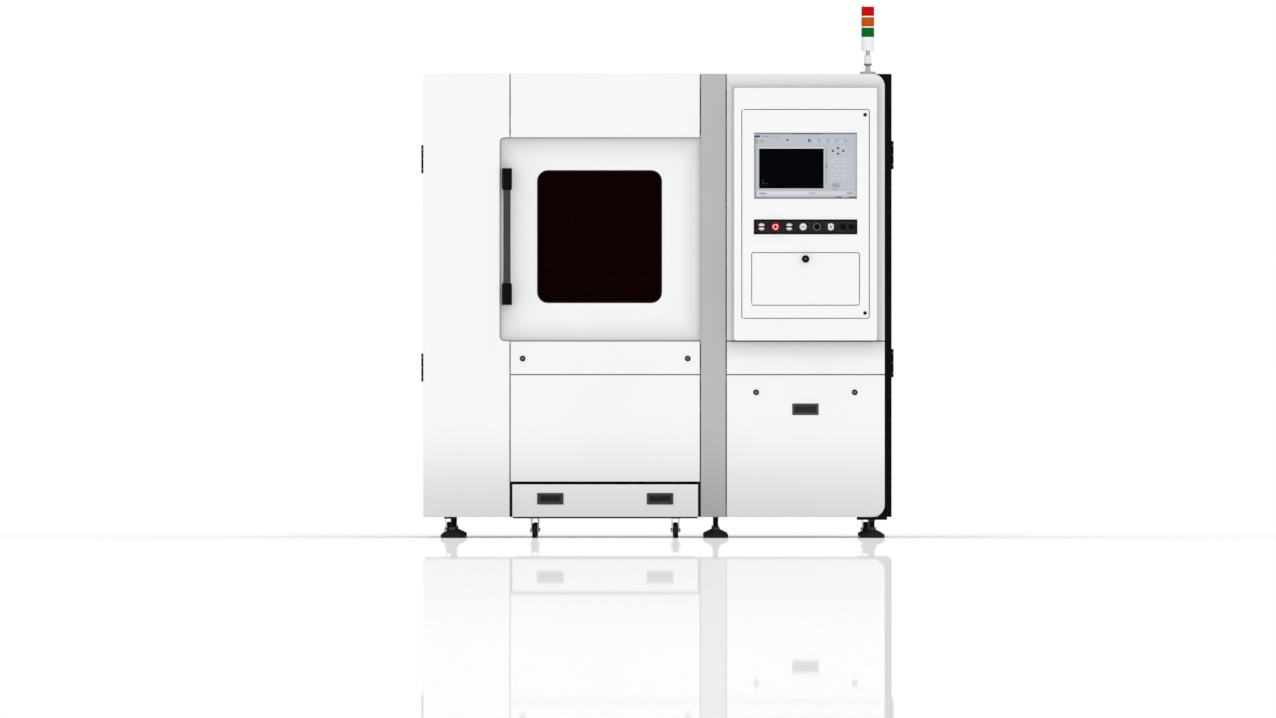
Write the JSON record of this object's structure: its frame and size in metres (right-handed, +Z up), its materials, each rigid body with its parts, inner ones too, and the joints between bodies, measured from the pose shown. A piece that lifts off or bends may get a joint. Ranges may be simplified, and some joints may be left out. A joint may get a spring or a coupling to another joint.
{
  "type": "fiber laser cutting machine",
  "caption": "Enclosed sheet-metal laser cutter with a sliding viewing door, slat table, gantry and head, scrap cart, and a cabinet with screen, keyboard flap and signal tower.",
  "frame": {"origin": "on the floor under the middle of the machine's box, hinges and exhaust collar included", "axes": "+X to the right as seen from the front, +Y from the front to the back, +Z up"},
  "size_m": [1.844, 1.45, 2.082],
  "materials": {
    "white_paint": "fine-textured satin powder coat",
    "grey_paint": "fine-textured satin powder coat",
    "black_paint": "satin powder coat",
    "frame_paint": "semi-gloss paint over welded steel",
    "zinc_steel": "zinc-plated pressed steel",
    "foot_rubber": "black pad with a blackened stud",
    "scrap_steel": "bare sheet steel",
    "wheel_rubber": "moulded rubber tyre",
    "pane": "dark laser-filtering pane",
    "black_plastic": "moulded, fine grain",
    "grip_metal": "dark grey tube",
    "screen": "glossy display face in a black bezel",
    "plate_metal": "black anodised plate",
    "red_plastic": "glossy moulding",
    "green_plastic": "glossy moulding",
    "amber_plastic": "translucent moulding",
    "white_plastic": "moulded",
    "lock_chrome": "plated die-cast lock",
    "gantry_alloy": "anodised extrusion and machined plate",
    "device_paint": "equipment case paint"
  },
  "bodies": {
    "machine_frame": {"welded_frame": "frame_paint", "levelling_feet": "foot_rubber", "transport_caster_forks": "zinc_steel", "left_front_panel": "white_paint", "upper_front_panel": "white_paint", "lower_front_panel": "white_paint", "grey_column": "grey_paint", "right_fascia": "white_paint", "fascia_strip": "white_paint", "control_box": "white_paint", "chamber_shell": "black_paint", "cabinet_shell": "black_paint", "side_hinge_bases": "black_paint", "door_rails": "zinc_steel", "machine_bed": "frame_paint", "slat_table": "scrap_steel", "scrap_chute": "scrap_steel", "laser_source": "device_paint", "electrics_plate": "device_paint", "tower_stand": "white_plastic", "tower_lens_green": "green_plastic", "tower_lens_amber": "amber_plastic", "tower_lens_red": "red_plastic"},
    "sliding_door": {"door_leaf": "white_paint", "door_window": "pane", "door_handle_mounts": "black_plastic", "door_handle_grip": "grip_metal"},
    "scrap_cart": {"cart_bin": "white_paint", "cart_pulls": "black_plastic", "cart_caster_forks": "zinc_steel"},
    "control_door": {"control_panel": "white_paint", "monitor": "screen", "button_plate": "plate_metal"},
    "flap": {"keyboard_flap": "white_paint", "keyboard": "black_plastic"},
    "strip_panel": {"bed_strip_panel": "white_paint"},
    "cabinet_panel": {"cabinet_front_panel": "white_paint", "cabinet_pull": "black_plastic"},
    "left_door": {"left_side_door": "black_paint"},
    "right_door": {"right_side_door": "black_paint"},
    "gantry": {"gantry_beam": "gantry_alloy"},
    "carriage": {"x_carriage": "gantry_alloy"},
    "head": {"cutting_head": "gantry_alloy"},
    "cart_wheel_front_left": {"cart_wheel_front_left": "wheel_rubber"},
    "cart_wheel_front_right": {"cart_wheel_front_right": "wheel_rubber"},
    "cart_wheel_rear_left": {"cart_wheel_rear_left": "wheel_rubber"},
    "cart_wheel_rear_right": {"cart_wheel_rear_right": "wheel_rubber"},
    "transport_wheel_left": {"transport_wheel_left": "wheel_rubber"},
    "transport_wheel_right": {"transport_wheel_right": "wheel_rubber"},
    "red_button": {"red_button": "red_plastic"},
    "stop_button": {"stop_button": "red_plastic"},
    "green_button": {"green_button": "green_plastic"},
    "white_button": {"white_button": "white_plastic"},
    "selector_knob": {"selector_knob": "black_plastic"},
    "key_switch": {"key_switch": "white_plastic"},
    "flap_knob": {"flap_knob": "black_plastic"},
    "strip_lock_left": {"strip_lock_left": "lock_chrome"},
    "strip_lock_right": {"strip_lock_right": "lock_chrome"},
    "cabinet_lock_left": {"cabinet_lock_left": "lock_chrome"},
    "cabinet_lock_right": {"cabinet_lock_right": "lock_chrome"}
  },
  "joints": [
    {"name": "door_slide", "type": "slide", "parent": "machine_frame", "child": "sliding_door", "axis": [1, 0, 0], "range_m": [0, 0.715]},
    {"name": "cart_slide", "type": "slide", "parent": "machine_frame", "child": "scrap_cart", "axis": [0, -1, 0], "range_m": [0, 1.05]},
    {"name": "cart_wheel_front_left_spin", "type": "hinge", "parent": "scrap_cart", "child": "cart_wheel_front_left", "pos_m": [-0.479, -0.553, 0.028], "axis": [1, 0, 0], "continuous": true},
    {"name": "cart_wheel_front_right_spin", "type": "hinge", "parent": "scrap_cart", "child": "cart_wheel_front_right", "pos_m": [0.071, -0.553, 0.028], "axis": [1, 0, 0], "continuous": true},
    {"name": "cart_wheel_rear_left_spin", "type": "hinge", "parent": "scrap_cart", "child": "cart_wheel_rear_left", "pos_m": [-0.479, 0.315, 0.028], "axis": [1, 0, 0], "continuous": true},
    {"name": "cart_wheel_rear_right_spin", "type": "hinge", "parent": "scrap_cart", "child": "cart_wheel_rear_right", "pos_m": [0.071, 0.315, 0.028], "axis": [1, 0, 0], "continuous": true},
    {"name": "transport_wheel_left_spin", "type": "hinge", "parent": "machine_frame", "child": "transport_wheel_left", "pos_m": [-0.813, -0.38, 0.034], "axis": [1, 0, 0], "continuous": true},
    {"name": "transport_wheel_right_spin", "type": "hinge", "parent": "machine_frame", "child": "transport_wheel_right", "pos_m": [0.813, -0.38, 0.034], "axis": [1, 0, 0], "continuous": true},
    {"name": "control_door_hinge", "type": "hinge", "parent": "machine_frame", "child": "control_door", "pos_m": [0.335, -0.69, 1.2635], "axis": [0, 0, -1], "range_deg": [0, 100]},
    {"name": "red_button_press", "type": "slide", "parent": "control_door", "child": "red_button", "axis": [0, 1, 0], "range_m": [0, 0.004], "stiffness_N_per_m": 400},
    {"name": "green_button_press", "type": "slide", "parent": "control_door", "child": "green_button", "axis": [0, 1, 0], "range_m": [0, 0.004], "stiffness_N_per_m": 400},
    {"name": "white_button_press", "type": "slide", "parent": "control_door", "child": "white_button", "axis": [0, 1, 0], "range_m": [0, 0.004], "stiffness_N_per_m": 400},
    {"name": "stop_button_press", "type": "slide", "parent": "control_door", "child": "stop_button", "axis": [0, 1, 0], "range_m": [0, 0.005]},
    {"name": "selector_turn", "type": "hinge", "parent": "control_door", "child": "selector_knob", "pos_m": [0.6215, -0.697, 1.213], "axis": [0, -1, 0], "range_deg": [-45, 45]},
    {"name": "key_turn", "type": "hinge", "parent": "control_door", "child": "key_switch", "pos_m": [0.6755, -0.697, 1.213], "axis": [0, -1, 0], "range_deg": [-90, 0]},
    {"name": "flap_hinge", "type": "hinge", "parent": "control_door", "child": "flap", "pos_m": [0.577, -0.69, 0.914], "axis": [1, 0, 0], "range_deg": [0, 90]},
    {"name": "flap_knob_turn", "type": "hinge", "parent": "flap", "child": "flap_knob", "pos_m": [0.577, -0.695, 1.088], "axis": [0, -1, 0], "range_deg": [0, 90]},
    {"name": "strip_panel_lift_off", "type": "slide", "parent": "machine_frame", "child": "strip_panel", "axis": [0, -1, 0], "range_m": [0, 0.25]},
    {"name": "strip_lock_left_turn", "type": "hinge", "parent": "strip_panel", "child": "strip_lock_left", "pos_m": [-0.526, -0.615, 0.7], "axis": [0, -1, 0], "range_deg": [-90, 0]},
    {"name": "strip_lock_right_turn", "type": "hinge", "parent": "strip_panel", "child": "strip_lock_right", "pos_m": [0.118, -0.615, 0.7], "axis": [0, -1, 0], "range_deg": [-90, 0]},
    {"name": "cabinet_panel_lift_off", "type": "slide", "parent": "machine_frame", "child": "cabinet_panel", "axis": [0, -1, 0], "range_m": [0, 0.25]},
    {"name": "cabinet_lock_left_turn", "type": "hinge", "parent": "cabinet_panel", "child": "cabinet_lock_left", "pos_m": [0.385, -0.615, 0.568], "axis": [0, -1, 0], "range_deg": [-90, 0]},
    {"name": "cabinet_lock_right_turn", "type": "hinge", "parent": "cabinet_panel", "child": "cabinet_lock_right", "pos_m": [0.769, -0.615, 0.568], "axis": [0, -1, 0], "range_deg": [-90, 0]},
    {"name": "left_door_hinge", "type": "hinge", "parent": "machine_frame", "child": "left_door", "pos_m": [-0.9175, -0.478, 0.946], "axis": [0, 0, 1], "range_deg": [0, 110]},
    {"name": "right_door_hinge", "type": "hinge", "parent": "machine_frame", "child": "right_door", "pos_m": [0.9175, -0.478, 0.946], "axis": [0, 0, -1], "range_deg": [0, 110]},
    {"name": "gantry_travel", "type": "slide", "parent": "machine_frame", "child": "gantry", "axis": [0, -1, 0], "range_m": [0, 0.6]},
    {"name": "carriage_travel", "type": "slide", "parent": "gantry", "child": "carriage", "axis": [1, 0, 0], "range_m": [-0.3, 0.3]},
    {"name": "head_travel", "type": "slide", "parent": "carriage", "child": "head", "axis": [0, 0, -1], "range_m": [0, 0.1]}
  ]
}
